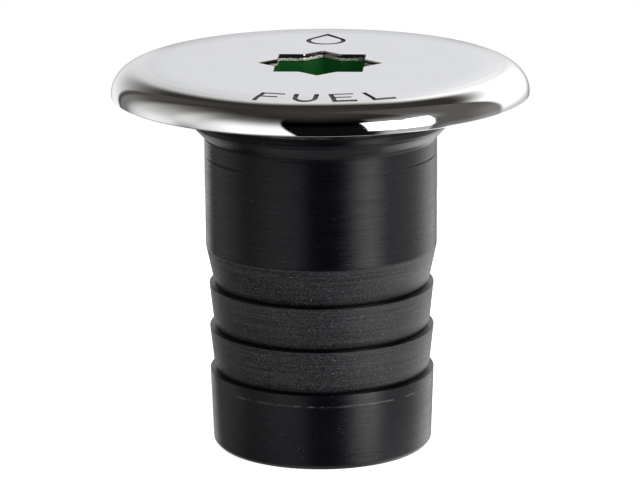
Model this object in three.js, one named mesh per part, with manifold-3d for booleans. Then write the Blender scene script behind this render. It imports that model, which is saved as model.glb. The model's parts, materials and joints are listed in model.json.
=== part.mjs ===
// Deck fill cap: a through-deck filler neck for a 50 mm hose, with a quarter-turn cap and a steel cover.
// Millimetres, +Z up. The origin is the centre of the hose tail's end face, on the axis of the neck.
// The cap is seated and released: lifting it clears the neck, and a quarter turn clockwise locks it.

import * as THREE from "three";
import { mergeVertices } from "three/addons/utils/BufferGeometryUtils.js";
import Module from "manifold-3d";

const wasm = await Module();
wasm.setup();

// The cover and its key hole.
const TOP = 88;
const COVER_RADIUS = 47;
const COVER_FLAT_RADIUS = 39.5;
const COVER_THICKNESS = 1.5;
const COVER_BLANK_BORE = 8;
const ROLL_DROP = 6.1;
const RIM_DROP = 6.6;
const RIM_CHAMFER = 0.3;
const STAR_RADIUS = 14;
const COVER_UNDERSIDE = TOP - COVER_THICKNESS;

// The neck: hose tail, neck, collar, and the flange that lies on the deck.
const HOSE_BORE = 50;
const BARB_GRIP = 0.55;
const BARB_ROOT = 0.4;
const BARB_TOPS = [17.6, 27.6, 37.6];
const TAIL_END_RADIUS = 24;
const TAIL_END_CHAMFER = 0.95;
const TAIL_BORE_RADIUS = 21.5;
const TAIL_BORE_TOP = 54;
const NECK_RADIUS = 26.25;
const NECK_BOTTOM = 46.6;
const NECK_TOP = 71.7;
const COLLAR_RADIUS = 29.5;
const COLLAR_BOTTOM = 75.1;
const FLANGE_RADIUS = 43;
const FLANGE_UNDERSIDE = 81;
const FLANGE_TOP = 84;
const FLANGE_LOWER_CHAMFER = 0.5;
const FLANGE_UPPER_CHAMFER = 0.8;
const SEAL_BORE_RADIUS = 23;
const SEAL_BORE_BOTTOM = 56;
const LEAD_IN_WIDTH = 1;
const LEAD_IN_DEPTH = 1.4;

// Four countersunk holes for the deck screws.
const SCREW_CIRCLE_RADIUS = 37;
const SCREW_HOLE_RADIUS = 2.6;
const SCREW_HEAD_RADIUS = 4.8;
const SCREW_ANGLES = [45, 135, 225, 315];

// The quarter-turn lock, with angles in degrees.
const THROAT_RADIUS = 20.5;
const LEDGE_BITE = 0.8;
const LEDGE_BOTTOM = 66;
const LEDGE_TOP = 69;
const LEDGE_START = 30;
const LEDGE_END = 150;
const STOP_BOTTOM = 62;
const STOP_WIDTH = 6;
const STOP_PLAY = 1;
const LUG_HALF_ANGLE = 25;
const LUG_BOTTOM = 62.5;
const LUG_TOP = 65.5;
const SIDES = [0, 180];

// The plug and the key socket in it.
const CLEARANCE = 0.3;
const PLUG_RADIUS = 22.6;
const PLUG_BOTTOM = 58;
const PLUG_TOP = COVER_UNDERSIDE - CLEARANCE;
const PLUG_NOSE_RADIUS = 20.2;
const PLUG_NOSE_TOP = 69.6;
const PLUG_NOSE_CHAMFER = 1.2;
const PLUG_SHOULDER = 71;
const SOCKET_RADIUS = 18.5;
const SOCKET_BOTTOM = 73;
const SOCKET_CHAMFER = 0.6;
const POCKET_FLOOR = 75;
const POCKET_EASE = 0.15;

// The seals.
const RING_HEIGHTS = { plug_o_ring_lower: 74, plug_o_ring_upper: 79.5 };
const RING_SECTION_RADIUS = 1.1;
const RING_PROUD = 0.2;
const SOCKET_RING_RADIUS = 19.8;
const SOCKET_RING_SECTION_RADIUS = 0.9;
const SOCKET_RING_DROP = 1.1;
const RING_SEAT_RADIUS = 21;
const RING_SEAT_DEPTH = 2.2;
const GASKET_INNER_RADIUS = 25;
const GASKET_OUTER_RADIUS = 31;

// The studs that hold the cover, the socket and the plug together, midway between the star's tips.
const STUD_CIRCLE_RADIUS = 14.6;
const STUD_ANGLES = [22.5, 112.5, 202.5, 292.5];
const STUD_RADIUS = 2;
const STUD_BOTTOM = 59;
const STUD_HOLE_RADIUS = STUD_RADIUS + CLEARANCE;
const NUT_POCKET_RADIUS = 4.6;
const NUT_POCKET_TOP = 65;
const NUT_ACROSS_FLATS = 7;
const NUT_BOTTOM = 60;
const NUT_TOP = 63.2;
const STUD_SEAL_RADIUS = 4.3;
const STUD_SEAL_BOTTOM = 63.5;

// The keeper under the plug.
const KEEPER_SCREW_RADIUS = 1.7;
const KEEPER_SCREW_TOP = 68.5;
const KEEPER_HOLE_RADIUS = KEEPER_SCREW_RADIUS + CLEARANCE;
const KEEPER_HOLE_TOP = 69;
const KEEPER_HEAD_RADIUS = 4;
const KEEPER_HEAD_BOTTOM = 53.2;
const KEEPER_HEAD_TOP = 55.2;
const KEEPER_HEAD_CHAMFER = 0.6;
const KEEPER_WASHER_RADIUS = 4.2;
const KEEPER_WASHER_BOTTOM = 56.9;
const KEEPER_WASHER_TOP = 57.7;
const STRIP_HALF_WIDTH = 4.8;
const STRIP_THICKNESS = 1.1;
const STRIP_TOP = 56.6;
const STRIP_REACH = 13;
const EYE_DROP = 9;
const EYE_RADIUS = 3.2;

const ROUND_SEGMENTS = 48;
const SMALL_SEGMENTS = 16;
const RING_SEGMENTS = 8;
const ROLL_STEPS = 6;

const COLOURS = {
  steel: { color: 0xd6d8dc, roughness: 0.16, metalness: 1 },
  fastener: { color: 0xb9bbbe, roughness: 0.3, metalness: 1 },
  nylon: { color: 0x15161a, roughness: 0.42, metalness: 0 },
  green: { color: 0x0c5a22, roughness: 0.35, metalness: 0 },
  rubber: { color: 0x0a0a0a, roughness: 0.75, metalness: 0 },
};

const deckFiller = new THREE.Group();

// ---- Shapes ----

// A solid of revolution about Z. The outline runs [radius, height] with the material on its left.
function turned(outline, segments = ROUND_SEGMENTS) {
  const points = outline.map(([radius, height]) => new THREE.Vector2(radius, height));
  return new THREE.LatheGeometry(points, segments).rotateX(Math.PI / 2);
}

// A closed ring with a rectangular section.
function washer(inner, outer, bottom, top, segments = ROUND_SEGMENTS) {
  const corners = [[inner, bottom], [outer, bottom], [outer, top], [inner, top], [inner, bottom]];
  return turned(corners, segments);
}

// A full cylinder standing on the axis.
function rod(radius, bottom, top, segments = SMALL_SEGMENTS) {
  return turned([[0, bottom], [radius, bottom], [radius, top], [0, top]], segments);
}

// A moulded ring of round section.
function roundRing(radius, section, height) {
  return new THREE.TorusGeometry(radius, section, RING_SEGMENTS, ROUND_SEGMENTS).translate(0, 0, height);
}

// An upright prism over a flat shape.
function prism(shape, bottom, top) {
  const options = { depth: top - bottom, bevelEnabled: false, curveSegments: SMALL_SEGMENTS };
  return new THREE.ExtrudeGeometry(shape, options).translate(0, 0, bottom);
}

function radians(degrees) {
  return THREE.MathUtils.degToRad(degrees);
}

function polar(radius, degrees) {
  return new THREE.Vector2(radius * Math.cos(radians(degrees)), radius * Math.sin(radians(degrees)));
}

// The key hole: two squares of the same size, one turned by an eighth of a turn.
function starShape(tipRadius) {
  const notchRadius = tipRadius * Math.SQRT1_2 / Math.cos(radians(22.5));
  const corners = [];
  for (let tip = 0; tip < 8; tip += 1) {
    corners.push(polar(tipRadius, tip * 45));
    corners.push(polar(notchRadius, tip * 45 + 22.5));
  }
  return new THREE.Shape(corners);
}

// A slice of a ring between two angles, for the bayonet's ledges, stops and lugs.
function ringSlice(inner, outer, from, to) {
  const steps = Math.max(2, Math.round((to - from) / 6));
  const corners = [];
  for (let step = 0; step <= steps; step += 1) {
    corners.push(polar(outer, from + (to - from) * step / steps));
  }
  for (let step = steps; step >= 0; step -= 1) {
    corners.push(polar(inner, from + (to - from) * step / steps));
  }
  return new THREE.Shape(corners);
}

// ---- Joining and cutting ----

function solid(geometry) {
  const bare = geometry.clone();
  bare.deleteAttribute("normal");
  bare.deleteAttribute("uv");
  const merged = mergeVertices(bare, 1e-4);
  const mesh = new wasm.Mesh({
    numProp: 3,
    vertProperties: merged.attributes.position.array,
    triVerts: new Uint32Array(merged.index.array),
  });
  return new wasm.Manifold(mesh);
}

function geometryOf(manifold) {
  const mesh = manifold.getMesh();
  const geometry = new THREE.BufferGeometry();
  geometry.setAttribute("position", new THREE.BufferAttribute(mesh.vertProperties, 3));
  geometry.setIndex(new THREE.BufferAttribute(mesh.triVerts, 1));
  geometry.computeVertexNormals();
  return geometry;
}

function joined(geometries) {
  return geometries.map(solid).reduce((whole, piece) => whole.add(piece));
}

function cut(base, tools) {
  return geometryOf(tools.map(solid).reduce((rest, tool) => rest.subtract(tool), solid(base)));
}

function place(name, geometry, finish) {
  const mesh = new THREE.Mesh(geometry, new THREE.MeshStandardMaterial(COLOURS[finish]));
  mesh.name = name;
  deckFiller.add(mesh);
  return mesh;
}

// ---- The neck, which is fixed in the deck ----

// The hose tail's outline from the end face up: each barb tapers wider upwards to a sharp lip.
function tailOutline() {
  const barbRadius = HOSE_BORE / 2 + BARB_GRIP;
  const rootRadius = HOSE_BORE / 2 - BARB_ROOT;
  const barbs = BARB_TOPS.flatMap((top) => [[barbRadius, top], [rootRadius, top]]);
  return [[TAIL_END_RADIUS, 0], [TAIL_END_RADIUS + TAIL_END_CHAMFER, TAIL_END_CHAMFER], ...barbs];
}

function neckOutline() {
  return [
    [TAIL_BORE_RADIUS, 0],
    ...tailOutline(),
    [NECK_RADIUS, NECK_BOTTOM],
    [NECK_RADIUS, NECK_TOP],
    [COLLAR_RADIUS, COLLAR_BOTTOM],
    [COLLAR_RADIUS, FLANGE_UNDERSIDE],
    [FLANGE_RADIUS - FLANGE_LOWER_CHAMFER, FLANGE_UNDERSIDE],
    [FLANGE_RADIUS, FLANGE_UNDERSIDE + FLANGE_LOWER_CHAMFER],
    [FLANGE_RADIUS, FLANGE_TOP - FLANGE_UPPER_CHAMFER],
    [FLANGE_RADIUS - FLANGE_UPPER_CHAMFER, FLANGE_TOP],
    [SEAL_BORE_RADIUS + LEAD_IN_WIDTH, FLANGE_TOP],
    [SEAL_BORE_RADIUS, FLANGE_TOP - LEAD_IN_DEPTH],
    [SEAL_BORE_RADIUS, SEAL_BORE_BOTTOM],
    [TAIL_BORE_RADIUS, TAIL_BORE_TOP],
    [TAIL_BORE_RADIUS, 0],
  ];
}

// One ledge per side, with a stop at the release end and a stop a quarter turn further on.
function bayonetSide(turn) {
  const wall = SEAL_BORE_RADIUS + LEDGE_BITE;
  const releaseStop = LUG_HALF_ANGLE + STOP_PLAY + turn;
  const lockStop = 90 - LUG_HALF_ANGLE - STOP_PLAY + turn;
  const start = LEDGE_START + turn;
  return [
    prism(ringSlice(THROAT_RADIUS, wall, start, LEDGE_END + turn), LEDGE_BOTTOM, LEDGE_TOP),
    prism(ringSlice(THROAT_RADIUS, wall, releaseStop, releaseStop + STOP_WIDTH), STOP_BOTTOM, LEDGE_TOP),
    prism(ringSlice(THROAT_RADIUS, wall, lockStop - STOP_WIDTH, lockStop), STOP_BOTTOM, LEDGE_TOP),
  ];
}

function countersunkHole(angle) {
  const below = FLANGE_UNDERSIDE - 1;
  const above = FLANGE_TOP + 1;
  const outline = [
    [0, below],
    [SCREW_HOLE_RADIUS, below],
    [SCREW_HOLE_RADIUS, FLANGE_TOP - SCREW_HEAD_RADIUS + SCREW_HOLE_RADIUS],
    [SCREW_HEAD_RADIUS + 1, above],
    [0, above],
  ];
  const centre = polar(SCREW_CIRCLE_RADIUS, angle);
  return turned(outline, SMALL_SEGMENTS).translate(centre.x, centre.y, 0);
}

function buildNeck() {
  const shell = joined([turned(neckOutline()), ...SIDES.flatMap(bayonetSide)]);
  const gasketBottom = FLANGE_TOP + CLEARANCE;
  const gasketTop = COVER_UNDERSIDE - CLEARANCE;
  place("neck_body", cut(geometryOf(shell), SCREW_ANGLES.map(countersunkHole)), "nylon");
  place("face_gasket", washer(GASKET_INNER_RADIUS, GASKET_OUTER_RADIUS, gasketBottom, gasketTop), "rubber");
}

// ---- The cap, which turns and lifts off ----

// The rolled edge of the cover, a quarter ellipse from the flat top out to its widest point.
// The inset is nothing on the outside and the sheet's thickness on the inside.
function rollOutline(inset) {
  const width = COVER_RADIUS - COVER_FLAT_RADIUS;
  const outline = [];
  for (let step = 0; step <= ROLL_STEPS; step += 1) {
    const turn = Math.PI / 2 * step / ROLL_STEPS;
    const radius = COVER_FLAT_RADIUS + (width - inset) * Math.sin(turn);
    const height = TOP - inset - (ROLL_DROP - inset) * (1 - Math.cos(turn));
    outline.push([radius, height]);
  }
  return outline;
}

function buildCover() {
  const rim = TOP - RIM_DROP;
  const outline = [
    [COVER_BLANK_BORE, COVER_UNDERSIDE],
    ...rollOutline(COVER_THICKNESS),
    [COVER_RADIUS - COVER_THICKNESS, rim],
    [COVER_RADIUS - RIM_CHAMFER, rim],
    ...rollOutline(0).reverse(),
    [COVER_BLANK_BORE, TOP],
    [COVER_BLANK_BORE, COVER_UNDERSIDE],
  ];
  const starHole = prism(starShape(STAR_RADIUS), COVER_UNDERSIDE - 1, TOP + 1);
  place("cap_cover", cut(turned(outline), [starHole]), "steel");
}

// A full-depth hole for one stud.
function studHole(angle) {
  const centre = polar(STUD_CIRCLE_RADIUS, angle);
  return rod(STUD_HOLE_RADIUS, PLUG_BOTTOM - 1, TOP).translate(centre.x, centre.y, 0);
}

// A pocket in the plug's end face for one nut and the sealing washer under it.
function nutPocket(angle) {
  const centre = polar(STUD_CIRCLE_RADIUS, angle);
  return rod(NUT_POCKET_RADIUS, PLUG_BOTTOM - 1, NUT_POCKET_TOP).translate(centre.x, centre.y, 0);
}

function buildKeySocket() {
  const cup = turned([
    [0, SOCKET_BOTTOM],
    [SOCKET_RADIUS - SOCKET_CHAMFER, SOCKET_BOTTOM],
    [SOCKET_RADIUS, SOCKET_BOTTOM + SOCKET_CHAMFER],
    [SOCKET_RADIUS, PLUG_TOP],
    [0, PLUG_TOP],
  ]);
  const pocket = prism(starShape(STAR_RADIUS + POCKET_EASE), POCKET_FLOOR, TOP);
  place("key_socket", cut(cup, [pocket, ...STUD_ANGLES.map(studHole)]), "green");
}

// A square groove for a ring that seals on the neck's bore.
function ringGroove(height) {
  const floor = PLUG_RADIUS - 2 * RING_SECTION_RADIUS;
  const half = RING_SECTION_RADIUS + CLEARANCE;
  return [
    [PLUG_RADIUS, height - half],
    [floor, height - half],
    [floor, height + half],
    [PLUG_RADIUS, height + half],
  ];
}

function plugOutline() {
  const recessRadius = SOCKET_RADIUS + CLEARANCE;
  const recessFloor = SOCKET_BOTTOM - CLEARANCE;
  const ringSeat = PLUG_TOP - RING_SEAT_DEPTH;
  return [
    [0, PLUG_BOTTOM],
    [PLUG_NOSE_RADIUS - PLUG_NOSE_CHAMFER, PLUG_BOTTOM],
    [PLUG_NOSE_RADIUS, PLUG_BOTTOM + PLUG_NOSE_CHAMFER],
    [PLUG_NOSE_RADIUS, PLUG_NOSE_TOP],
    [PLUG_RADIUS, PLUG_SHOULDER],
    ...ringGroove(RING_HEIGHTS.plug_o_ring_lower),
    ...ringGroove(RING_HEIGHTS.plug_o_ring_upper),
    [PLUG_RADIUS, PLUG_TOP],
    [RING_SEAT_RADIUS, PLUG_TOP],
    [RING_SEAT_RADIUS, ringSeat],
    [recessRadius, ringSeat],
    [recessRadius, recessFloor],
    [0, recessFloor],
  ];
}

function buildPlug() {
  const lugs = SIDES.map((turn) => {
    const [start, end] = [turn - LUG_HALF_ANGLE, turn + LUG_HALF_ANGLE];
    return prism(ringSlice(PLUG_NOSE_RADIUS - 1, PLUG_RADIUS, start, end), LUG_BOTTOM, LUG_TOP);
  });
  const body = joined([turned(plugOutline()), ...lugs]);
  const keeperHole = rod(KEEPER_HOLE_RADIUS, PLUG_BOTTOM - 1, KEEPER_HOLE_TOP);
  const holes = [...STUD_ANGLES.map(studHole), ...STUD_ANGLES.map(nutPocket), keeperHole];
  place("plug_body", cut(geometryOf(body), holes), "nylon");
}

function buildSeals() {
  const ringRadius = PLUG_RADIUS + RING_PROUD - RING_SECTION_RADIUS;
  for (const [name, height] of Object.entries(RING_HEIGHTS)) {
    place(name, roundRing(ringRadius, RING_SECTION_RADIUS, height), "rubber");
  }
  const seatRing = roundRing(SOCKET_RING_RADIUS, SOCKET_RING_SECTION_RADIUS, PLUG_TOP - SOCKET_RING_DROP);
  place("socket_o_ring", seatRing, "rubber");
}

function nutGeometry() {
  const blank = new THREE.CylinderGeometry(
    NUT_ACROSS_FLATS / Math.sqrt(3),
    NUT_ACROSS_FLATS / Math.sqrt(3),
    NUT_TOP - NUT_BOTTOM,
    6,
  );
  const upright = blank.rotateX(Math.PI / 2).translate(0, 0, (NUT_BOTTOM + NUT_TOP) / 2);
  return cut(upright, [rod(STUD_HOLE_RADIUS, NUT_BOTTOM - 1, NUT_TOP + 1)]);
}

// Four studs welded under the cover clamp the key socket and the plug to it.
function buildStuds() {
  STUD_ANGLES.forEach((angle, index) => {
    const number = index + 1;
    const sealTop = NUT_POCKET_TOP - CLEARANCE;
    const seal = washer(STUD_HOLE_RADIUS, STUD_SEAL_RADIUS, STUD_SEAL_BOTTOM, sealTop, SMALL_SEGMENTS);
    const stack = [
      place(`weld_stud_${number}`, rod(STUD_RADIUS, STUD_BOTTOM, COVER_UNDERSIDE - CLEARANCE), "fastener"),
      place(`stud_seal_${number}`, seal, "rubber"),
      place(`stud_nut_${number}`, nutGeometry(), "fastener"),
    ];
    const centre = polar(STUD_CIRCLE_RADIUS, angle);
    for (const piece of stack) {
      piece.position.set(centre.x, centre.y, 0);
    }
  });
}

// ---- The keeper: an eye that swivels under the plug, for a retaining cord ----

// The eye's level part, from the swivel hole out to the bend.
function swivelPlate() {
  const plate = new THREE.Shape();
  plate.absarc(0, 0, STRIP_HALF_WIDTH, Math.PI / 2, Math.PI * 1.5, false);
  plate.lineTo(STRIP_REACH, -STRIP_HALF_WIDTH);
  plate.lineTo(STRIP_REACH, STRIP_HALF_WIDTH);
  return prism(plate, STRIP_TOP - STRIP_THICKNESS, STRIP_TOP);
}

// The eye's hanging part, with the hole for the cord near its round end.
function hangingEye() {
  const leg = new THREE.Shape();
  leg.moveTo(-STRIP_HALF_WIDTH, 0);
  leg.lineTo(-STRIP_HALF_WIDTH, -EYE_DROP);
  leg.absarc(0, -EYE_DROP, STRIP_HALF_WIDTH, Math.PI, Math.PI * 2, false);
  leg.lineTo(STRIP_HALF_WIDTH, 0);
  const eye = new THREE.Path();
  eye.absarc(0, -EYE_DROP, EYE_RADIUS, 0, Math.PI * 2, true);
  leg.holes.push(eye);
  const facing = prism(leg, 0, STRIP_THICKNESS).rotateX(Math.PI / 2).rotateZ(Math.PI / 2);
  return facing.translate(STRIP_REACH - STRIP_THICKNESS, 0, STRIP_TOP);
}

function buildKeeper() {
  const screw = turned([
    [0, KEEPER_HEAD_BOTTOM],
    [KEEPER_HEAD_RADIUS - KEEPER_HEAD_CHAMFER, KEEPER_HEAD_BOTTOM],
    [KEEPER_HEAD_RADIUS, KEEPER_HEAD_BOTTOM + KEEPER_HEAD_CHAMFER],
    [KEEPER_HEAD_RADIUS, KEEPER_HEAD_TOP],
    [KEEPER_SCREW_RADIUS, KEEPER_HEAD_TOP],
    [KEEPER_SCREW_RADIUS, KEEPER_SCREW_TOP],
    [0, KEEPER_SCREW_TOP],
  ], SMALL_SEGMENTS);
  const ring = washer(
    KEEPER_HOLE_RADIUS,
    KEEPER_WASHER_RADIUS,
    KEEPER_WASHER_BOTTOM,
    KEEPER_WASHER_TOP,
    SMALL_SEGMENTS,
  );
  const swivelHole = rod(KEEPER_HOLE_RADIUS, KEEPER_HEAD_TOP, KEEPER_WASHER_BOTTOM);
  const strip = geometryOf(joined([swivelPlate(), hangingEye()]));
  place("keeper_screw", screw, "fastener");
  place("keeper_washer", ring, "fastener");
  place("keeper_eye", cut(strip, [swivelHole]), "fastener");
}

buildNeck();
buildCover();
buildKeySocket();
buildPlug();
buildSeals();
buildStuds();
buildKeeper();

export default deckFiller;
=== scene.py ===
import json
import math

import bmesh
import bpy
from mathutils import Matrix, Vector


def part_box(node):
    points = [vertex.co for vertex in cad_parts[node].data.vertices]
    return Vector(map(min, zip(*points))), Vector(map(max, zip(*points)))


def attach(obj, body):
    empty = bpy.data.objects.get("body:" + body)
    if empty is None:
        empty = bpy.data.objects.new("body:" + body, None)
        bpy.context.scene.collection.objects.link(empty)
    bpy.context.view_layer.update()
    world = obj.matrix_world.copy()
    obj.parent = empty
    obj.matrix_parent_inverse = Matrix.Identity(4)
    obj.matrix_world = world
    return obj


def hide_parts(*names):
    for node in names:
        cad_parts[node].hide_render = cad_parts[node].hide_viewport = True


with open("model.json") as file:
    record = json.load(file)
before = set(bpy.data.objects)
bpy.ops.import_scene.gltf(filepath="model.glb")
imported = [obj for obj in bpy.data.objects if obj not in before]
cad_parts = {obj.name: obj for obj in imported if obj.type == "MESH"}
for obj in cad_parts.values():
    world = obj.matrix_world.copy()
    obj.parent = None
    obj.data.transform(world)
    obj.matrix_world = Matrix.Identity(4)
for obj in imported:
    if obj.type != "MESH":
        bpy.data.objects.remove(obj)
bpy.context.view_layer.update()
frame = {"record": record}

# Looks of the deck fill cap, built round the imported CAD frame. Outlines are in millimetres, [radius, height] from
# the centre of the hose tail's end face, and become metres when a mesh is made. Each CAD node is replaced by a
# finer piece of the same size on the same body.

MM = 0.001
FINE = 192
SMALL = 48
SHARP_ANGLE = math.radians(28)

# Driving dimensions, read from the frame in millimetres.
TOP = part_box("cap_cover")[1].z / MM
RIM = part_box("cap_cover")[0].z / MM
COVER_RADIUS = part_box("cap_cover")[1].x / MM
FLANGE_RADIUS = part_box("neck_body")[1].x / MM
FLANGE_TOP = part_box("neck_body")[1].z / MM
PLUG_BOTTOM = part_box("plug_body")[0].z / MM
PLUG_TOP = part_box("plug_body")[1].z / MM
PLUG_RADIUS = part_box("plug_body")[1].y / MM
SOCKET_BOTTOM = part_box("key_socket")[0].z / MM
SOCKET_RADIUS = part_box("key_socket")[1].x / MM

# The rest of the shape's own dimensions. The crown is only in the steel's shading.
SHEET = 1.5
COVER_FLAT_RADIUS = 39.5
CROWN_START = 28.0
CROWN_END = 41.5
CROWN_DROP = 0.8
ROLL_DROP = 6.1
STAR_RADIUS = 14.0
POCKET_FLOOR = SOCKET_BOTTOM + 2
STUD_CIRCLE = 14.6
STUD_RADIUS = 2.0
STUD_ANGLES = [22.5 + 90 * quarter for quarter in range(4)]
STUD_THREAD = {"pitch": 0.7, "depth": 0.38, "length": 11}
STUD_HOLE_RADIUS = 2.3
TAIL_BORE = 21.5
TAIL_BORE_TOP = 54
SEAL_BORE = 23.0
SEAL_BORE_BOTTOM = 56
THROAT = 20.5
TAIL_END_RADIUS = 24
TAIL_END_CHAMFER = 0.95
BARB_RADIUS = 25.55
ROOT_RADIUS = 24.6
BARB_TOPS = [17.6, 27.6, 37.6]
BARB_UNDERCUT = 0.45
NECK_RADIUS = 26.25
NECK_BOTTOM = 46.6
NECK_TOP = 71.7
COLLAR_RADIUS = 29.5
COLLAR_BOTTOM = 75.1
FLANGE_UNDERSIDE = FLANGE_TOP - 3
SCREW_ANGLES = (45, 135, 225, 315)
SCREW_CIRCLE = 37
SCREW_HOLE_RADIUS = 2.6
PLUG_NOSE_RADIUS = 20.2
PLUG_NOSE_TOP = 69.6
PLUG_SHOULDER = 71
SOCKET_CLEARANCE = 0.3

# The bayonet. Angles are in degrees from the lugs' place when the cap is released, which is how it rests. A quarter
# turn clockwise, seen from above, takes the lugs under the ledges and locks it.
BAYONET_SIDES = (0, 180)
LEDGE_BITE = 0.8
LEDGE_BOTTOM = 66
LEDGE_TOP = 69
LEDGE_ANGLES = (30, 150)
STOP_BOTTOM = 62
STOP_ANGLES = ((26, 32), (58, 64))
LUG_HALF_ANGLE = 25
LUG_BOTTOM = 62.5
LUG_TOP = 65.5


# ---- Outlines ----

def polar(radius, degrees):
    angle = math.radians(degrees)
    return Vector((radius * math.cos(angle), radius * math.sin(angle)))


def rounded(corners, steps=4):
    """A closed outline in which each corner given as (x, y, reach) is rounded from reach before it to reach after."""
    outline = []
    for index, corner in enumerate(corners):
        here = Vector(corner[:2])
        if len(corner) < 3:
            outline.append(here)
            continue
        before = Vector(corners[index - 1][:2]) - here
        after = Vector(corners[(index + 1) % len(corners)][:2]) - here
        reach = min(corner[2], 0.49 * before.length, 0.49 * after.length)
        start = here + before.normalized() * reach
        end = here + after.normalized() * reach
        for step in range(steps + 1):
            share = step / steps
            outline.append((1 - share) ** 2 * start + 2 * share * (1 - share) * here + share ** 2 * end)
    return outline


def star_outline(tip_radius, rounding, notch_rounding):
    """Two equal squares, one turned by an eighth of a turn, with slightly rounded corners."""
    notch_radius = tip_radius * math.sqrt(0.5) / math.cos(math.radians(22.5))
    corners = []
    for tip in range(8):
        corners.append((*polar(tip_radius, tip * 45), rounding))
        corners.append((*polar(notch_radius, tip * 45 + 22.5), notch_rounding))
    return rounded(corners, 3)


def ring_slice(inner, outer, start, end, steps=24):
    angles = [start + (end - start) * step / steps for step in range(steps + 1)]
    return [polar(outer, angle) for angle in angles] + [polar(inner, angle) for angle in reversed(angles)]


# ---- Meshes ----

def make_object(name, shape):
    bmesh.ops.recalc_face_normals(shape, faces=shape.faces)
    mesh = bpy.data.meshes.new(name)
    shape.to_mesh(mesh)
    shape.free()
    piece = bpy.data.objects.new(name, mesh)
    bpy.context.scene.collection.objects.link(piece)
    return piece


def skin(shape, rings, closed):
    """Faces between neighbouring rings of vertices; a ring of one vertex is a point on the axis."""
    pairs = list(zip(rings, rings[1:] + rings[:1])) if closed else list(zip(rings, rings[1:]))
    for lower, upper in pairs:
        count = max(len(lower), len(upper))
        for index in range(count if len(lower) + len(upper) > 2 else 0):
            following = (index + 1) % count
            corners = [lower[index % len(lower)], lower[following % len(lower)],
                       upper[following % len(upper)], upper[index % len(upper)]]
            shape.faces.new(list(dict.fromkeys(corners)))


def turned(name, outline, segments=FINE):
    """A solid of revolution about Z from a closed outline, or from one that starts and ends on the axis."""
    shape = bmesh.new()
    rings = []
    for radius, height in outline:
        if radius < 1e-6:
            rings.append([shape.verts.new((0, 0, height * MM))])
            continue
        angles = [math.tau * index / segments for index in range(segments)]
        rings.append([shape.verts.new((radius * math.cos(a) * MM, radius * math.sin(a) * MM, height * MM))
                      for a in angles])
    skin(shape, rings, closed=True)
    return make_object(name, shape)


def upright(name, outline, levels):
    """A solid over a flat outline. Levels are (height, scale of the outline) pairs from the bottom up."""
    shape = bmesh.new()
    rings = [[shape.verts.new((x * scale * MM, y * scale * MM, height * MM)) for x, y in outline]
             for height, scale in levels]
    skin(shape, rings, closed=False)
    shape.faces.new(rings[0])
    shape.faces.new(rings[-1])
    return make_object(name, shape)


def combine(base, tool, operation):
    """Joins, cuts or intersects base with tool, which is used up. Faces cut by tool keep tool's material."""
    modifier = base.modifiers.new("combine", "BOOLEAN")
    modifier.operation = operation
    modifier.solver = "EXACT"
    modifier.material_mode = "TRANSFER"
    modifier.object = tool
    result = base.evaluated_get(bpy.context.evaluated_depsgraph_get())
    base.data = bpy.data.meshes.new_from_object(result)
    base.modifiers.clear()
    bpy.data.objects.remove(tool)
    return base


def move(piece, x, y, turn=0.0):
    """Turns the piece's mesh about Z, in degrees, and then shifts it."""
    place = Matrix.Translation((x * MM, y * MM, 0))
    piece.data.transform(place @ Matrix.Rotation(math.radians(turn), 4, "Z"))
    return piece


def heights_of(node):
    """The bottom and top of a CAD node, in millimetres."""
    low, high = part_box(node)
    return low.z / MM, high.z / MM


def install(piece, node, material, sharp_angle=SHARP_ANGLE):
    """Puts a finished piece on its CAD node's body, in that node's place."""
    piece.data.shade_smooth()
    piece.data.set_sharp_from_angle(angle=sharp_angle)
    if material:
        piece.data.materials.clear()
        piece.data.materials.append(material)
    body = next(name for name, nodes in frame["record"]["behaviour"]["bodies"].items() if node in nodes)
    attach(piece, body)
    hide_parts(node)


# ---- Materials ----

def add(tree, kind, inputs=None, **settings):
    """A shader node with its settings; an input is a value or another node's output."""
    made = tree.nodes.new(kind)
    for key, value in settings.items():
        setattr(made, key, value)
    for key, value in (inputs or {}).items():
        if isinstance(value, bpy.types.NodeSocket):
            tree.links.new(value, made.inputs[key])
        else:
            made.inputs[key].default_value = value
    return made


def new_material(name, **inputs):
    material = bpy.data.materials.new(name)
    material.use_nodes = True
    tree = material.node_tree
    shader = tree.nodes["Principled BSDF"]
    for key, value in inputs.items():
        shader.inputs[key.replace("_", " ")].default_value = value
    return material, tree, shader


def place_of(tree):
    return add(tree, "ShaderNodeTexCoord").outputs["Object"]


def stretched_noise(tree, scale, detail=4.0, roughness=0.6):
    """Noise in the piece's own coordinates; scale is the count per metre along X, Y and Z."""
    mapping = add(tree, "ShaderNodeMapping", {"Vector": place_of(tree), "Scale": scale})
    settings = {"Vector": mapping.outputs[0], "Scale": 1.0, "Detail": detail, "Roughness": roughness}
    return add(tree, "ShaderNodeTexNoise", settings).outputs["Fac"]


def remap(tree, value, start, end, low, high, smooth_step=False):
    kind = "SMOOTHSTEP" if smooth_step else "LINEAR"
    ranges = {"Value": value, "From Min": start, "From Max": end, "To Min": low, "To Max": high}
    return add(tree, "ShaderNodeMapRange", ranges, interpolation_type=kind).outputs[0]


def math_node(tree, operation, *values):
    return add(tree, "ShaderNodeMath", dict(enumerate(values)), operation=operation).outputs[0]


def mix_colour(tree, share, first, second):
    return add(tree, "ShaderNodeMix", {0: share, 6: first, 7: second}, data_type="RGBA").outputs[2]


def mix_value(tree, share, first, second):
    return add(tree, "ShaderNodeMix", {0: share, 2: first, 3: second}, data_type="FLOAT").outputs[0]


def bump(tree, shader, height, distance, strength=1.0):
    """Relief on the shader's normal; distance is its depth in millimetres."""
    node = add(tree, "ShaderNodeBump", {"Height": height, "Distance": distance * MM, "Strength": strength})
    tree.links.new(node.outputs[0], shader.inputs["Normal"])
    return node


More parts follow.
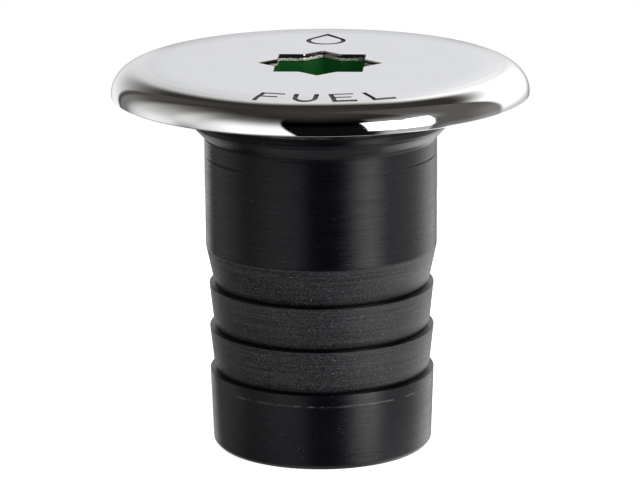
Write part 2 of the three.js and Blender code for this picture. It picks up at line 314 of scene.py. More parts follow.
def height_of(tree):
    """Height above the hose tail's end, in metres."""
    return add(tree, "ShaderNodeSeparateXYZ", {0: place_of(tree)}).outputs[2]


def radius_of(tree):
    """Distance from the neck's axis, in metres."""
    split = add(tree, "ShaderNodeSeparateXYZ", {0: place_of(tree)})
    flat = add(tree, "ShaderNodeCombineXYZ", {0: split.outputs[0], 1: split.outputs[1]})
    return add(tree, "ShaderNodeVectorMath", {0: flat.outputs[0]}, operation="LENGTH").outputs["Value"]


def cover_steel():
    """Stainless: satin brushed on the flat top, mirror polished round the rolled edge, with hairline scratches.
    A bump lets the flat fall away towards its edge, as a slightly crowned cover does."""
    material, tree, shader = new_material("cover_steel", Metallic=1.0)
    brushing = stretched_noise(tree, (60, 5200, 5200), 3.0)
    cloudy = stretched_noise(tree, (90, 90, 90), 3.0)
    scratches = stretched_noise(tree, (1500, 110, 900), 2.0)
    satin = math_node(tree, "ADD", remap(tree, brushing, 0.3, 0.7, 0.26, 0.34),
                      remap(tree, cloudy, 0.3, 0.7, -0.02, 0.03))
    polish = remap(tree, scratches, 0.62, 0.75, 0.035, 0.12)
    polish_start, polish_end = COVER_FLAT_RADIUS - 1.5, COVER_FLAT_RADIUS + 3.2
    edge = remap(tree, radius_of(tree), polish_start * MM, polish_end * MM, 0, 1, True)
    tree.links.new(mix_value(tree, edge, satin, polish), shader.inputs["Roughness"])
    strokes = remap(tree, brushing, 0.35, 0.65, 0, 1)
    tint = mix_colour(tree, strokes, (0.93, 0.94, 0.985, 1), (0.97, 0.98, 1.0, 1))
    tree.links.new(mix_colour(tree, edge, tint, (0.885, 0.875, 0.865, 1)), shader.inputs["Base Color"])
    ripple = stretched_noise(tree, (1300, 1300, 1300), 2.0)
    outward = remap(tree, radius_of(tree), CROWN_START * MM, CROWN_END * MM, 0, 1)
    fall = remap(tree, math_node(tree, "POWER", outward, 2.5), 0, 1, 0, -CROWN_DROP, True)
    crown = add(tree, "ShaderNodeBump", {"Height": fall, "Distance": MM})
    grain = bump(tree, shader, mix_value(tree, edge, brushing, ripple), 0.003, 0.5)
    tree.links.new(crown.outputs[0], grain.inputs["Normal"])
    return material


def cut_steel():
    """The punched edge of the key hole: burnished near the top, torn and grainy below."""
    material, tree, shader = new_material("cut_steel", Metallic=1.0)
    wander = remap(tree, stretched_noise(tree, (700, 700, 300), 3.0), 0.3, 0.7, -0.00012, 0.00012)
    height = math_node(tree, "ADD", height_of(tree), wander)
    middle = (TOP - 0.95) * MM
    torn = remap(tree, height, middle + 0.0001, middle - 0.0001, 0, 1, True)
    grain = stretched_noise(tree, (4200, 4200, 2400), 3.0, 0.7)
    tree.links.new(mix_value(tree, torn, 0.14, 0.55), shader.inputs["Roughness"])
    grit = remap(tree, grain, 0.4, 0.62, 0, 1)
    speckled = mix_colour(tree, grit, (0.1, 0.1, 0.085, 1), (0.8, 0.8, 0.74, 1))
    tree.links.new(mix_colour(tree, torn, (0.34, 0.28, 0.29, 1), speckled), shader.inputs["Base Color"])
    bump(tree, shader, math_node(tree, "MULTIPLY", torn, grain), 0.12)
    return material


def engraved_steel():
    material, tree, shader = new_material("engraved_steel", Metallic=0.6, Roughness=0.62)
    grain = stretched_noise(tree, (4000, 4000, 4000), 2.0)
    colour = mix_colour(tree, grain, (0.045, 0.045, 0.05, 1), (0.14, 0.14, 0.15, 1))
    tree.links.new(colour, shader.inputs["Base Color"])
    bump(tree, shader, grain, 0.02)
    return material


def fastener_steel():
    material, tree, shader = new_material("fastener_steel", Metallic=1.0)
    grain = stretched_noise(tree, (900, 900, 2600), 4.0)
    tree.links.new(remap(tree, grain, 0.3, 0.7, 0.2, 0.42), shader.inputs["Roughness"])
    colour = mix_colour(tree, grain, (0.46, 0.46, 0.47, 1), (0.66, 0.66, 0.67, 1))
    tree.links.new(colour, shader.inputs["Base Color"])
    bump(tree, shader, grain, 0.01)
    return material


def round_tangent(tree, shader, amount):
    """Stretches the highlights upright, as fine lines round the axis do."""
    tangent = add(tree, "ShaderNodeTangent", direction_type="RADIAL", axis="Z")
    tree.links.new(tangent.outputs[0], shader.inputs["Tangent"])
    shader.inputs["Anisotropic"].default_value = amount
    shader.inputs["Anisotropic Rotation"].default_value = 0.25


def turned_nylon(name, low, high, line_depth, witness_line):
    """Black glass-filled nylon as a lathe leaves it: fine rings, faint specks of glass lightened as painted glints,
    and one scratched line.
    Low and high are the roughness, line_depth and witness_line are in millimetres."""
    material, tree, shader = new_material(name, Specular_IOR_Level=0.31)
    round_tangent(tree, shader, 0.95)
    lines = stretched_noise(tree, (110, 110, 3000), 4.0, 0.7)
    bands = stretched_noise(tree, (9, 9, 420), 2.0)
    specks = stretched_noise(tree, (2600, 2600, 2600), 1.0)
    finish = math_node(tree, "ADD", remap(tree, lines, 0.3, 0.7, low, high),
                       remap(tree, bands, 0.3, 0.7, -0.04, 0.04))
    height = height_of(tree)
    marks = remap(tree, stretched_noise(tree, (20, 20, 700), 2.0), 0.6, 0.66, 0, 0.45)
    near_top = remap(tree, height, (NECK_TOP - 8) * MM, (NECK_TOP - 4) * MM, 0, 1, True)
    tool_marks = math_node(tree, "MULTIPLY", marks, near_top)
    tree.links.new(math_node(tree, "ADD", finish, tool_marks), shader.inputs["Roughness"])
    # Painted glints: faint specks of glass are lightened in the colour.
    glint = remap(tree, specks, 0.74, 0.8, 0, 1)
    plain = mix_colour(tree, glint, (0.0016, 0.0014, 0.0028, 1), (0.07, 0.07, 0.08, 1))
    off_line = math_node(tree, "ABSOLUTE", math_node(tree, "SUBTRACT", height, witness_line * MM))
    scratched = math_node(tree, "MULTIPLY", remap(tree, off_line, 0.0001, 0.00025, 1, 0),
                          remap(tree, stretched_noise(tree, (260, 260, 900), 4.0), 0.46, 0.62, 0, 1))
    tree.links.new(mix_colour(tree, scratched, plain, (0.045, 0.045, 0.045, 1)), shader.inputs["Base Color"])
    relief = math_node(tree, "ADD", lines, math_node(tree, "MULTIPLY", bands, 0.5))
    bump(tree, shader, relief, line_depth)
    return material


def grained_nylon():
    """The rougher, grainy skin of the barbs, with specks of glass fibre lightened as painted glints. The foot of each
    wall, just above a lip, carries painted shade: darker and duller, standing for the shadow in the groove under the
    lip."""
    material, tree, shader = new_material("grained_nylon")
    round_tangent(tree, shader, 0.4)
    coarse = stretched_noise(tree, (2700, 2700, 3400), 3.0, 0.75)
    lines = stretched_noise(tree, (40, 40, 2400), 3.0)
    glints = stretched_noise(tree, (3300, 3300, 3300), 2.0)
    lip, next_lip = BARB_TOPS[0] * MM, BARB_TOPS[1] * MM
    clear = 0.1 * MM
    above_lip = math_node(tree, "WRAP", height_of(tree), next_lip - clear, lip - clear)
    # Painted shade: near each lip the colour goes black and the gloss drops, standing for the shadow in the groove
    # under the lip.
    unshaded_share = remap(tree, above_lip, lip + 0.1 * MM, lip + 1.15 * MM, 0.1, 1, True)
    tree.links.new(math_node(tree, "MULTIPLY", unshaded_share, 0.37), shader.inputs["Specular IOR Level"])
    tree.links.new(remap(tree, coarse, 0.3, 0.7, 0.32, 0.54), shader.inputs["Roughness"])
    grain = math_node(tree, "ADD", math_node(tree, "MULTIPLY", coarse, 0.65),
                      math_node(tree, "MULTIPLY", lines, 0.35))
    dust = remap(tree, grain, 0.42, 0.6, 0, 1)
    dusty = mix_colour(tree, dust, (0.0003, 0.0003, 0.0007, 1), (0.023, 0.023, 0.026, 1))
    # Painted glints: specks of glass fibre are lightened in the colour.
    glinting = mix_colour(tree, remap(tree, glints, 0.64, 0.72, 0, 1), dusty, (0.1, 0.1, 0.105, 1))
    tree.links.new(mix_colour(tree, unshaded_share, (0, 0, 0, 1), glinting), shader.inputs["Base Color"])
    relief = math_node(tree, "ADD", coarse, math_node(tree, "MULTIPLY", lines, 0.8))
    bump(tree, shader, relief, 0.08)
    return material


def green_nylon():
    """Green plastic; a faint glow stands for the light scattered in the pocket."""
    material, tree, shader = new_material("green_nylon", Specular_IOR_Level=0.1,
                                          Emission_Color=(0.075, 1, 0.19, 1), Emission_Strength=0.019)
    flow = stretched_noise(tree, (160, 160, 420), 4.0)
    tree.links.new(remap(tree, flow, 0.3, 0.7, 0.42, 0.6), shader.inputs["Roughness"])
    colour = mix_colour(tree, flow, (0.0019, 0.033, 0.0042, 1), (0.0027, 0.043, 0.0056, 1))
    tree.links.new(colour, shader.inputs["Base Color"])
    bump(tree, shader, flow, 0.02)
    return material


def seal_rubber():
    material, tree, shader = new_material("seal_rubber")
    grain = stretched_noise(tree, (1400, 1400, 1400), 5.0)
    tree.links.new(remap(tree, grain, 0.3, 0.7, 0.5, 0.72), shader.inputs["Roughness"])
    colour = mix_colour(tree, grain, (0.008, 0.008, 0.008, 1), (0.022, 0.022, 0.023, 1))
    tree.links.new(colour, shader.inputs["Base Color"])
    bump(tree, shader, grain, 0.03)
    return material


# ---- The neck ----

def neck_outline():
    tail = [(TAIL_END_RADIUS, 0, 0.25), (TAIL_END_RADIUS + TAIL_END_CHAMFER, TAIL_END_CHAMFER, 0.5)]
    for top in BARB_TOPS:
        tail += [(BARB_RADIUS, top, 0.14), (ROOT_RADIUS - BARB_UNDERCUT, top, 0.1), (ROOT_RADIUS, top + 1.3, 0.5)]
    return rounded([
        (TAIL_BORE, 0, 0.3),
        *tail,
        (NECK_RADIUS, NECK_BOTTOM, 0.35),
        (NECK_RADIUS, NECK_TOP, 0.5),
        (COLLAR_RADIUS, COLLAR_BOTTOM, 0.4),
        (COLLAR_RADIUS, FLANGE_UNDERSIDE, 0.4),
        (FLANGE_RADIUS, FLANGE_UNDERSIDE, 0.5),
        (FLANGE_RADIUS, FLANGE_TOP, 0.8),
        (SEAL_BORE + 1, FLANGE_TOP, 0.3),
        (SEAL_BORE, FLANGE_TOP - 1.4, 0.5),
        (SEAL_BORE, SEAL_BORE_BOTTOM, 0.4),
        (TAIL_BORE, TAIL_BORE_TOP, 0.4),
    ])


def build_neck(materials):
    neck = turned("neck_fine", neck_outline())
    parts = [(*LEDGE_ANGLES, LEDGE_BOTTOM), *((*angles, STOP_BOTTOM) for angles in STOP_ANGLES)]
    for turn in BAYONET_SIDES:
        for start, end, bottom in parts:
            slice_outline = ring_slice(THROAT, SEAL_BORE + LEDGE_BITE, start + turn, end + turn)
            combine(neck, upright("ledge", slice_outline, [(bottom, 1), (LEDGE_TOP, 1)]), "UNION")
    hole = rounded([(0, FLANGE_UNDERSIDE - 1), (SCREW_HOLE_RADIUS, FLANGE_UNDERSIDE - 1),
                    (SCREW_HOLE_RADIUS, FLANGE_TOP - 2.2, 0.2), (SCREW_HOLE_RADIUS + 3.2, FLANGE_TOP + 1),
                    (0, FLANGE_TOP + 1)])
    for angle in SCREW_ANGLES:
        centre = polar(SCREW_CIRCLE, angle)
        combine(neck, move(turned("screw_hole", hole, SMALL), centre.x, centre.y), "DIFFERENCE")
    neck.data.materials.clear()
    for material in (materials["neck"], materials["barb"], materials["tail"]):
        neck.data.materials.append(material)
    plain, grainy, tail = range(3)
    for face in neck.data.polygons:
        height = face.center.z / MM
        outside = face.center.xy.length / MM > SEAL_BORE + LEDGE_BITE + 0.1
        on_lip = any(abs(height - top) < 0.03 for top in BARB_TOPS)
        if outside and not on_lip and BARB_TOPS[0] < height < NECK_BOTTOM - 0.1:
            face.material_index = grainy
        elif on_lip or height < BARB_TOPS[0]:
            face.material_index = tail
        else:
            face.material_index = plain
    install(neck, "neck_body", None)


def build_gasket(materials):
    """The flange's flat gasket, with a shallow groove round its upper face."""
    low, high = heights_of("face_gasket")
    inner, outer = 25.0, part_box("face_gasket")[1].x / MM
    depth = 0.25
    gasket = turned("face_gasket_fine", rounded([
        (inner, low, 0.3), (outer, low, 0.3), (outer, high, 0.3), (28.9, high, 0.2), (28.5, high - depth, 0.2),
        (27.5, high - depth, 0.2), (27.1, high, 0.2), (inner, high, 0.3)]))
    install(gasket, "face_gasket", materials["rubber"])


# ---- The cap's cover ----

def roll(inset, steps):
    """The quarter ellipse of the cover's edge, from the flat top out; the inset follows the sheet's inside."""
    outline = []
    for step in range(steps + 1):
        turn = math.pi / 2 * step / steps
        radius = COVER_FLAT_RADIUS + (COVER_RADIUS - COVER_FLAT_RADIUS - inset) * math.sin(turn)
        height = TOP - inset - (ROLL_DROP - inset) * (1 - math.cos(turn))
        outline.append((radius, height))
    return outline


def cover_outline():
    inside = COVER_RADIUS - SHEET
    lip = rounded([(inside, TOP - ROLL_DROP), (inside, RIM, 0.2), (COVER_RADIUS, RIM, 0.12),
                   (COVER_RADIUS, TOP - ROLL_DROP)])[1:-1]
    return [(8, TOP - SHEET), (COVER_FLAT_RADIUS - 0.4, TOP - SHEET), *roll(SHEET, 16), *lip,
            *reversed(roll(0, 48)), (COVER_FLAT_RADIUS - 0.4, TOP), (8, TOP)]


LETTER_HEIGHT = 7.4
LETTER_WIDTH = 5.4
LETTER_STROKE = 1.05
LETTER_PITCH = 12.2
WORD_TURN = 4.3
WORD_RADIUS = 41.4
ENGRAVING_DEPTH = 0.3
DROPLET_WIDTH = 9.2
DROPLET_HEIGHT = 13
DROPLET_STROKE = 1.1
DROPLET_DISTANCE = 26


def letter_outlines():
    """The four plain letters of the generic word, each from its lower left corner."""
    w, h, s = LETTER_WIDTH, LETTER_HEIGHT, LETTER_STROKE
    waist = [(0.85 * w, (h - s) / 2), (0.85 * w, (h + s) / 2)]
    head = [(s, h - s), (w, h - s), (w, h), (0, h)]
    foot = [(0, 0), (w, 0), (w, s), (s, s)]
    bars = [(s, waist[0][1]), *waist, (s, waist[1][1]), *head]
    bowl = [polar(1, angle) for angle in range(180, 361, 15)]
    outer = [(w / 2 + w / 2 * x, w / 2 + w / 2 * y) for x, y in bowl]
    inner = [(w / 2 + (w / 2 - s) * x, w / 2 + (w / 2 - s) * y) for x, y in reversed(bowl)]
    return [[(0, 0), (s, 0), *bars], [(0, h), *outer, (w, h), (w - s, h), *inner, (s, h)], [*foot, *bars],
            [*foot, (s, h), (0, h)]]


def engraving_tool(name, outline, material):
    tool = upright(name, outline, [(TOP - ENGRAVING_DEPTH, 1), (TOP + 1, 1)])
    tool.data.materials.append(material)
    return tool


def droplet_outline(inset):
    """A plain droplet with its tip up, about its round end's centre."""
    radius = DROPLET_WIDTH / 2 - inset
    tip = DROPLET_HEIGHT - DROPLET_WIDTH / 2 - inset * 2.2
    lean = math.degrees(math.acos(radius / tip))
    first, last = 90 + lean, 450 - lean
    arc = [polar(radius, first + (last - first) * step / 24) for step in range(25)]
    return arc + [Vector((0, tip))]


def engrave(cover, material):
    for index, outline in enumerate(letter_outlines()):
        placed = [(x - LETTER_WIDTH / 2, y - WORD_RADIUS) for x, y in outline]
        letter = engraving_tool("letter", placed, material)
        combine(cover, move(letter, 0, 0, WORD_TURN + (index - 1.5) * LETTER_PITCH), "DIFFERENCE")
    droplet = engraving_tool("droplet", droplet_outline(0), material)
    inside = upright("inside", droplet_outline(DROPLET_STROKE), [(TOP - 1, 1), (TOP + 2, 1)])
    combine(droplet, inside, "DIFFERENCE")
    combine(cover, move(droplet, 0, DROPLET_DISTANCE), "DIFFERENCE")


def build_cover(materials):
    cover = turned("cap_cover_fine", cover_outline(), 256)
    cover.data.materials.append(materials["steel"])
    reach = STAR_RADIUS * math.sqrt(0.5)
    profile = [(-SHEET - 1, 0), (-0.9, 0), (-0.25, 0.03), (-0.1, 0.07), (-0.03, 0.13), (0, 0.2), (1, 3)]
    levels = [(TOP + height, 1 + offset / reach) for height, offset in profile]
    star = upright("star", star_outline(STAR_RADIUS - 0.15, 0.35, 0.5), levels)
    star.data.materials.append(materials["cut"])
    combine(cover, star, "DIFFERENCE")
    engrave(cover, materials["engraved"])
    install(cover, "cap_cover", None, math.radians(12))


# ---- The cap's inner pieces ----

def build_socket(materials):
    socket = turned("key_socket_fine", rounded([
        (0, SOCKET_BOTTOM), (SOCKET_RADIUS, SOCKET_BOTTOM, 0.6), (SOCKET_RADIUS, PLUG_TOP, 0.25), (0, PLUG_TOP)]))
    levels = [(POCKET_FLOOR, 0.985), (PLUG_TOP - 0.1, 1), (PLUG_TOP + 0.5, 1.04)]
    combine(socket, upright("pocket", star_outline(STAR_RADIUS + 0.15, 0.5, 0.3), levels), "DIFFERENCE")
    for angle in STUD_ANGLES:
        centre = polar(STUD_CIRCLE, angle)
        hole = turned("stud_hole", [(0, SOCKET_BOTTOM - 1), (STUD_HOLE_RADIUS, SOCKET_BOTTOM - 1),
                                    (STUD_HOLE_RADIUS, TOP), (0, TOP)], SMALL)
        combine(socket, move(hole, centre.x, centre.y), "DIFFERENCE")
    install(socket, "key_socket", materials["green"])


def ring_height(node):
    low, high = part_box(node)
    return (low.z + high.z) / 2 / MM


def groove(height):
    """The corners of an o-ring's groove in the plug's side, from the bottom up."""
    floor = PLUG_RADIUS - 2.2
    bottom, top = height - 1.4, height + 1.4
    return [(PLUG_RADIUS, bottom, 0.2), (floor, bottom, 0.2), (floor, top, 0.2), (PLUG_RADIUS, top, 0.2)]


def build_plug(materials):
    nose = PLUG_NOSE_RADIUS
    recess = SOCKET_RADIUS + SOCKET_CLEARANCE
    recess_floor = SOCKET_BOTTOM - SOCKET_CLEARANCE
    seat_radius, seat = 21, PLUG_TOP - 2.2
    plug = turned("plug_body_fine", rounded([
        (0, PLUG_BOTTOM), (nose, PLUG_BOTTOM, 1.2), (nose, PLUG_NOSE_TOP, 0.4), (PLUG_RADIUS, PLUG_SHOULDER, 0.5),
        *groove(ring_height("plug_o_ring_lower")), *groove(ring_height("plug_o_ring_upper")),
        (PLUG_RADIUS, PLUG_TOP, 0.2), (seat_radius, PLUG_TOP, 0.2), (seat_radius, seat), (recess, seat, 0.2),
        (recess, recess_floor), (0, recess_floor)]))
    for turn in BAYONET_SIDES:
        corners = ring_slice(nose - 1, PLUG_RADIUS - 0.05, turn - LUG_HALF_ANGLE, turn + LUG_HALF_ANGLE)
        lug = upright("lug", corners, [(LUG_BOTTOM, 1), (LUG_BOTTOM + 0.3, 1), (LUG_TOP - 0.3, 1), (LUG_TOP, 1)])
        combine(plug, lug, "UNION")
    pocket_radius, pocket_top = 4.6, 65
    pocket = rounded([
        (0, PLUG_BOTTOM - 1), (pocket_radius, PLUG_BOTTOM - 1), (pocket_radius, pocket_top, 0.3),
        (STUD_HOLE_RADIUS, pocket_top), (STUD_HOLE_RADIUS, TOP), (0, TOP)])
    for angle in STUD_ANGLES:
        centre = polar(STUD_CIRCLE, angle)
        combine(plug, move(turned("nut_pocket", pocket, SMALL), centre.x, centre.y), "DIFFERENCE")
    hole = [(0, PLUG_BOTTOM - 1), (2, PLUG_BOTTOM - 1), (2, 69), (0, 69)]
    combine(plug, turned("keeper_hole", hole, SMALL), "DIFFERENCE")
    install(plug, "plug_body", materials["neck"])


def build_round_rings(materials):
    """O-rings with the faint flash line that the mould leaves round the outside."""
    side = 24
    for node in ("plug_o_ring_lower", "plug_o_ring_upper", "socket_o_ring"):
        low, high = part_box(node)
        section = (high.z - low.z) / 2 / MM
        centre = Vector((high.x / MM - section, ring_height(node)))
        outline = [centre + polar(section, 360 * step / side) * (0.97 if step else 1.0) for step in range(side)]
        install(turned(f"{node}_fine", outline), node, materials["rubber"])


def threaded_rod(name, radius, pitch, depth, bottom, thread_top, top):
    """A rod whose lower part carries a helical thread."""
    shape = bmesh.new()
    around = 24
    levels = [bottom + pitch * step / 6 for step in range(int((thread_top - bottom) / pitch * 6))]
    rings = [[shape.verts.new((0, 0, bottom * MM))]]
    for height in levels:
        ring = []
        for index in range(around):
            phase = (height / pitch - index / around) % 1
            lead_in = min(1, (height - bottom) / pitch)
            crest = radius - depth * abs(2 * phase - 1) - depth * (1 - lead_in)
            ring.append(shape.verts.new((*(polar(crest, 360 * index / around) * MM), height * MM)))
        rings.append(ring)
    for height in (thread_top, top):
        rings.append([shape.verts.new((*(polar(radius, 360 * index / around) * MM), height * MM))
                      for index in range(around)])
    rings.append([shape.verts.new((0, 0, top * MM))])
    skin(shape, rings, closed=False)
    return make_object(name, shape)


def hex_nut(name, bottom, top):
    """A nut for the studs, chamfered at both ends."""
    corners = [polar(4.04, 60 * index + 30) for index in range(6)]
    nut = upright(name, corners, [(bottom, 1), (top, 1)])
    face, widest, chamfer = 3.45, 4.2, 0.42
    faces = turned("chamfers", [(0, bottom), (face, bottom), (widest, bottom + chamfer), (widest, top - chamfer),
                                (face, top), (0, top)], SMALL)
    combine(nut, faces, "INTERSECT")
    thread, mouth = 2.12, 2.9
    bore = turned("bore", [(0, bottom - 1), (mouth, bottom - 1), (thread, bottom + 0.3), (thread, top - 0.3),
                           (mouth, top + 1), (0, top + 1)], SMALL)
    return combine(nut, bore, "DIFFERENCE")


def build_studs(materials):
    for number, angle in enumerate(STUD_ANGLES, 1):
        centre = polar(STUD_CIRCLE, angle)
        low, high = heights_of(f"weld_stud_{number}")
        stud = threaded_rod(f"weld_stud_{number}_fine", STUD_RADIUS, STUD_THREAD["pitch"], STUD_THREAD["depth"],
                            low, low + STUD_THREAD["length"], high)
        install(move(stud, centre.x, centre.y), f"weld_stud_{number}", materials["fastener"])
        low, high = heights_of(f"stud_seal_{number}")
        seal = turned(f"stud_seal_{number}_fine", rounded([
            (STUD_HOLE_RADIUS, low, 0.2), (4.3, low, 0.3), (4.3, high, 0.3), (STUD_HOLE_RADIUS, high, 0.2)]), SMALL)
        install(move(seal, centre.x, centre.y), f"stud_seal_{number}", materials["rubber"])
        low, high = heights_of(f"stud_nut_{number}")
        nut = move(hex_nut(f"stud_nut_{number}_fine", low, high), centre.x, centre.y)
        install(nut, f"stud_nut_{number}", materials["fastener"])


def build_keeper(materials):
    low, high = heights_of("keeper_screw")
    head, shank, neck = 4, 1.7, low + 2
    screw = turned("keeper_screw_fine", rounded([
        (0, low), (head, low, 0.9), (head, neck, 0.2), (shank, neck, 0.1), (shank, high, 0.3), (0, high)]), SMALL)
    drive = upright("drive", star_outline(1.9, 0.2, 0.1), [(low - 1, 1), (low + 1.2, 1)])
    combine(screw, drive, "DIFFERENCE")
    install(screw, "keeper_screw", materials["fastener"])
    low, high = heights_of("keeper_washer")
    washer = turned("keeper_washer_fine", rounded([
        (2, low, 0.1), (4.2, low, 0.2), (4.2, high, 0.2), (2, high, 0.1)]), SMALL)
    install(washer, "keeper_washer", materials["fastener"])
    install(keeper_strip(), "keeper_eye", materials["fastener"])


def keeper_strip():
    """The eye's strip: a flat blank with two holes, bent down at right angles."""
    low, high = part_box("keeper_eye")
    width = high.y / MM
    thickness = 1.1
    top = high.z / MM
    far = high.x / MM
    bend = 1.6
    straight = far - bend
    quarter = math.pi / 2 * (bend - thickness / 2)
    leg = top - bend - low.z / MM - width
    end = straight + quarter + leg
    left = [polar(width, angle) for angle in range(90, 271, 10)]
    right = [polar(width, angle) + Vector((end, 0)) for angle in range(-90, 91, 10)]
    blank = upright("keeper_eye_fine", left + right, [(-thickness / 2, 1), (thickness / 2, 1)])
    for centre, radius in ((0, 2.0), (end, 3.2)):
        hole = turned("hole", [(0, -3), (radius, -3), (radius, 3), (0, 3)], SMALL)
        combine(blank, move(hole, centre, 0), "DIFFERENCE")
    shape = bmesh.new()
    shape.from_mesh(blank.data)
    bend_steps = 8
    for step in range(bend_steps + 1):
        cut = (straight + quarter * step / bend_steps) * MM
        bmesh.ops.bisect_plane(shape, geom=shape.verts[:] + shape.edges[:] + shape.faces[:],
                               plane_co=(cut, 0, 0), plane_no=(1, 0, 0))
    middle = top - thickness / 2
    centre = middle - (bend - thickness / 2)
    for vertex in shape.verts:
        along, across, offset = (value / MM for value in vertex.co)
        if along <= straight:
            x, z = along, middle + offset
        elif along <= straight + quarter:
            turn = (along - straight) / (bend - thickness / 2)
            reach = bend - thickness / 2 + offset
            x, z = straight + reach * math.sin(turn), centre + reach * math.cos(turn)
        else:
            x, z = far - thickness / 2 + offset, centre - (along - straight - quarter)
        vertex.co = Vector((x, across, z)) * MM
    shape.to_mesh(blank.data)
    shape.free()
    return blank


# ---- The studio ----

CAMERA_AZIMUTH = 3.08
CAMERA_DISTANCE = 812.5
CAMERA_HEIGHT = TOP + 163.8
TARGET = Vector((-0.3, 0, TOP - 41.0))
CAMERA_ROLL = 0.4
FOCAL_LENGTH = 207.5


def build_camera():
    turn = Matrix.Rotation(math.radians(CAMERA_AZIMUTH), 3, "Z")
    place = turn @ Vector((0, -CAMERA_DISTANCE, CAMERA_HEIGHT))
    ahead = (turn @ TARGET - place).normalized()
    right = ahead.cross(Vector((0, 0, 1))).normalized()
    up = right.cross(ahead)
    rolled = Matrix.Rotation(math.radians(CAMERA_ROLL), 3, ahead)
    columns = Matrix((rolled @ right, rolled @ up, -ahead)).transposed()
    data = bpy.data.cameras.new("camera")
    data.lens = FOCAL_LENGTH
    data.sensor_width = 36
    data.clip_start = 0.01
    camera = bpy.data.objects.new("camera", data)
    camera.matrix_world = Matrix.Translation(place * MM) @ columns.to_4x4()
    bpy.context.scene.collection.objects.link(camera)
    bpy.context.scene.camera = camera


# Soft boxes and backgrounds round the object: left and right edge, bottom and top edge, in degrees, then the softness
# of each of those four edges, the brightness, and the lean of the sides, in degrees of azimuth per degree of
# elevation. Zero is towards the camera, and plus is to its right.
SOFT_BOXES = {
    "left_box": (-78, -17, -18, 30, 10, 1.2, 4, 34, 0.68, -0.2),
    "left_box_near": (-58, -17, -18, 28, 16, 1.2, 4, 16, 0.52, -0.2),
    "left_box_far": (-124, -79, -18, 30, 8, 10, 4, 34, 0.68, 0.18),
    "left_box_foot": (-112, -87, -18, 2, 9, 12, 4, 14, 0.25, 0.18),
    "left_gap": (-146, -124, -60, 50, 3, 6, 4, 30, 0.05, 0.0),
    "left_gap_inner": (-139, -122, -18, 24, 1.5, 6, 4, 14, 0.12, 0.1),
    "key_left": (26, 48, -1, 36.5, 1.5, 2, 3, 2.5, 3.8, -0.04),
    "key_right": (46, 62, -1, 36.5, 2, 1.5, 3, 3, 3.8, 0.2),
    "key_core": (36, 60, 4, 32, 8, 6, 4, 4, 11.0, 0.0),
    "key_skirt": (34, 62, -24, 1, 6, 1.5, 4, 4, 0.48, 0.0),
    "key_glow": (31, 72, 30, 46, 4, 12, 8, 12, 0.32, 0.0),
    "right_card": (62, 115, -60, 75, 2, 2, 2, 30, 0.075, 0.0),
    "right_card_far": (96, 115, -18, 20, 12, 2, 3, 14, 0.12, 0.0),
    "right_card_foot": (68, 116, -60, -3, 6, 2, 2, 6, 0.1, 0.0),
    "key_floor": (46, 84, -50, -18, 9, 9, 4, 3, 0.55, 0.0),
    "right_floor": (128, 176, -50, -18, 9, 9, 4, 3, 0.7, 0.0),
    "front_room": (-19, 28, -60, 24, 6, 6, 4, 8, 0.0045, 0.0),
    "right_low": (73, 160, -60, -15, 5, 8, 2, 4, 1.2, 0.0),
    "right_back_box": (116, 158, -60, 41, 2.5, 8, 2, 9, 0.6, 0.0),
    "right_back_upper": (116, 160, -5, 39, 2.5, 8, 7, 7, 0.6, 0.0),
    "backdrop_right": (158, 170, 0, 50, 8, 5, 10, 9, 0.38, 0.0),
    "backdrop": (158, 193, -4, 50, 8, 9, 9, 9, 0.47, 0.0),
    "backdrop_foot": (158, 193, -60, 50, 8, 9, 2, 9, 0.27, 0.0),
    "left_rear": (193, 215.5, -60, 16, 9, 2.5, 2, 24, 0.92, 0.0),
}
CEILING = (0.047, 0.043, 0.038, 1)


def direction_angles(tree):
    """Azimuth and elevation in radians of the way a ray looks."""
    split = add(tree, "ShaderNodeSeparateXYZ", {0: add(tree, "ShaderNodeTexCoord").outputs["Generated"]})
    backward = math_node(tree, "MULTIPLY", split.outputs[1], -1.0)
    return math_node(tree, "ARCTAN2", split.outputs[0], backward), math_node(tree, "ARCSINE", split.outputs[2])


def soft_box(tree, azimuth, elevation, limits, softness, power, lean):
    """The light of one soft box in the direction given by azimuth and elevation."""
    left, right, bottom, top = limits
    soft_left, soft_right, soft_bottom, soft_top = softness
    middle = math.radians((left + right) / 2 + CAMERA_AZIMUTH)
    half = math.radians((right - left) / 2)
    leant = math_node(tree, "SUBTRACT", azimuth, math_node(tree, "MULTIPLY", elevation, lean))
    offset = math_node(tree, "WRAP", math_node(tree, "SUBTRACT", leant, middle), math.pi, -math.pi)
    edges = [(offset, -half, soft_left, 0, 1), (offset, half, soft_right, 1, 0),
             (elevation, math.radians(bottom), soft_bottom, 0, 1),
             (elevation, math.radians(top), soft_top, 1, 0)]
    share = power
    for value, edge, blur, low, high in edges:
        spread = math.radians(blur)
        side = remap(tree, value, edge - spread, edge + spread, low, high, True)
        share = math_node(tree, "MULTIPLY", share, side)
    return share


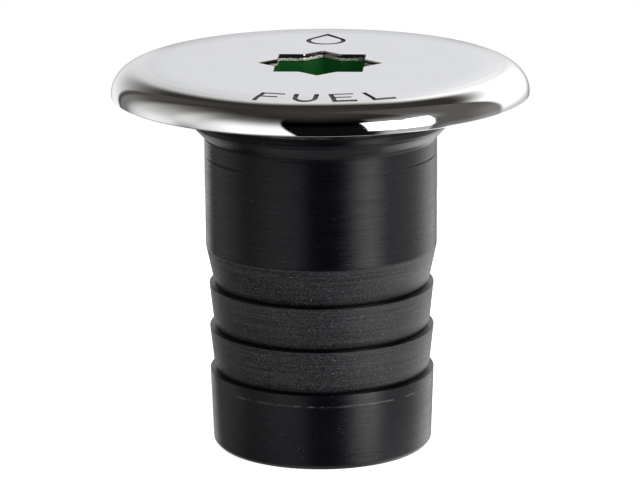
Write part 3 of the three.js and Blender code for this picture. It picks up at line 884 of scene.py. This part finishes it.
def build_world():
    """The soft boxes and the dim room, which the object mirrors. The camera itself sees plain white behind it."""
    world = bpy.data.worlds.new("studio")
    bpy.context.scene.world = world
    world.use_nodes = True
    tree = world.node_tree
    tree.nodes.clear()
    azimuth, elevation = direction_angles(tree)
    total = 0.0
    for box in SOFT_BOXES.values():
        light = soft_box(tree, azimuth, elevation, box[:4], box[4:8], *box[8:])
        total = math_node(tree, "ADD", total, light)
    front = math_node(tree, "ABSOLUTE", math_node(tree, "SUBTRACT", azimuth, math.radians(CAMERA_AZIMUTH)))
    ceiling_share = math_node(tree, "MAXIMUM", remap(tree, elevation, 0.62, 1.5, 0.0, 1.0, True),
                              remap(tree, front, 0.35, 1.0, 0.0, 0.75, True))
    ceiling = mix_colour(tree, ceiling_share, (0.0, 0.0, 0.0, 1), CEILING)
    total = math_node(tree, "ADD", total, remap(tree, elevation, -0.9, -1.25, 0.0, 0.9, True))
    boxes = add(tree, "ShaderNodeBackground", {"Color": (0.985, 0.99, 1.0, 1), "Strength": total})
    room = add(tree, "ShaderNodeBackground", {"Color": ceiling, "Strength": 1.0})
    lit = add(tree, "ShaderNodeAddShader", {0: boxes.outputs[0], 1: room.outputs[0]})
    white = add(tree, "ShaderNodeBackground", {"Color": (1, 1, 1, 1), "Strength": 1.0})
    seen = add(tree, "ShaderNodeLightPath").outputs["Is Camera Ray"]
    chosen = add(tree, "ShaderNodeMixShader", {0: seen, 1: lit.outputs[0], 2: white.outputs[0]})
    output = tree.nodes.new("ShaderNodeOutputWorld")
    tree.links.new(chosen.outputs[0], output.inputs["Surface"])


def build_floor():
    """White paper just under the part, which doesn't show in the polished metal."""
    shape = bmesh.new()
    corners = [(-0.22, -0.17), (0.35, -0.17), (0.35, 0.25), (-0.22, 0.25)]
    shape.faces.new([shape.verts.new((x, y, -0.1 * MM)) for x, y in corners])
    floor = make_object("floor", shape)
    material, tree, shader = new_material("floor_paper", Roughness=0.9,
                                          Emission_Color=(1, 1, 1, 1), Emission_Strength=0.85)
    grain = stretched_noise(tree, (300, 300, 300), 2.0)
    colour = mix_colour(tree, grain, (0.9, 0.9, 0.9, 1), (0.93, 0.93, 0.93, 1))
    tree.links.new(colour, shader.inputs["Base Color"])
    floor.data.materials.append(material)
    floor.visible_glossy = False


def build_top_light():
    """A large overhead light for the floor, which doesn't show in the polished metal."""
    data = bpy.data.lights.new("top_light", "AREA")
    data.shape = "DISK"
    data.size = 1.6
    data.energy = 6
    light = bpy.data.objects.new("top_light", data)
    light.location = (0, 0.1, 1.3)
    light.visible_glossy = False
    light.visible_camera = False
    bpy.context.scene.collection.objects.link(light)


def main():
    materials = {
        "steel": cover_steel(),
        "cut": cut_steel(),
        "engraved": engraved_steel(),
        "fastener": fastener_steel(),
        "neck": turned_nylon("turned_nylon", 0.22, 0.36, 0.045, COLLAR_BOTTOM + 2),
        "tail": turned_nylon("tail_nylon", 0.28, 0.4, 0.045, BARB_TOPS[0] - 2.6),
        "barb": grained_nylon(),
        "green": green_nylon(),
        "rubber": seal_rubber(),
    }
    build_neck(materials)
    build_gasket(materials)
    build_cover(materials)
    build_socket(materials)
    build_plug(materials)
    build_round_rings(materials)
    build_studs(materials)
    build_keeper(materials)
    build_camera()
    build_world()
    build_floor()
    build_top_light()
    bpy.context.scene.view_settings.view_transform = "Standard"


main()
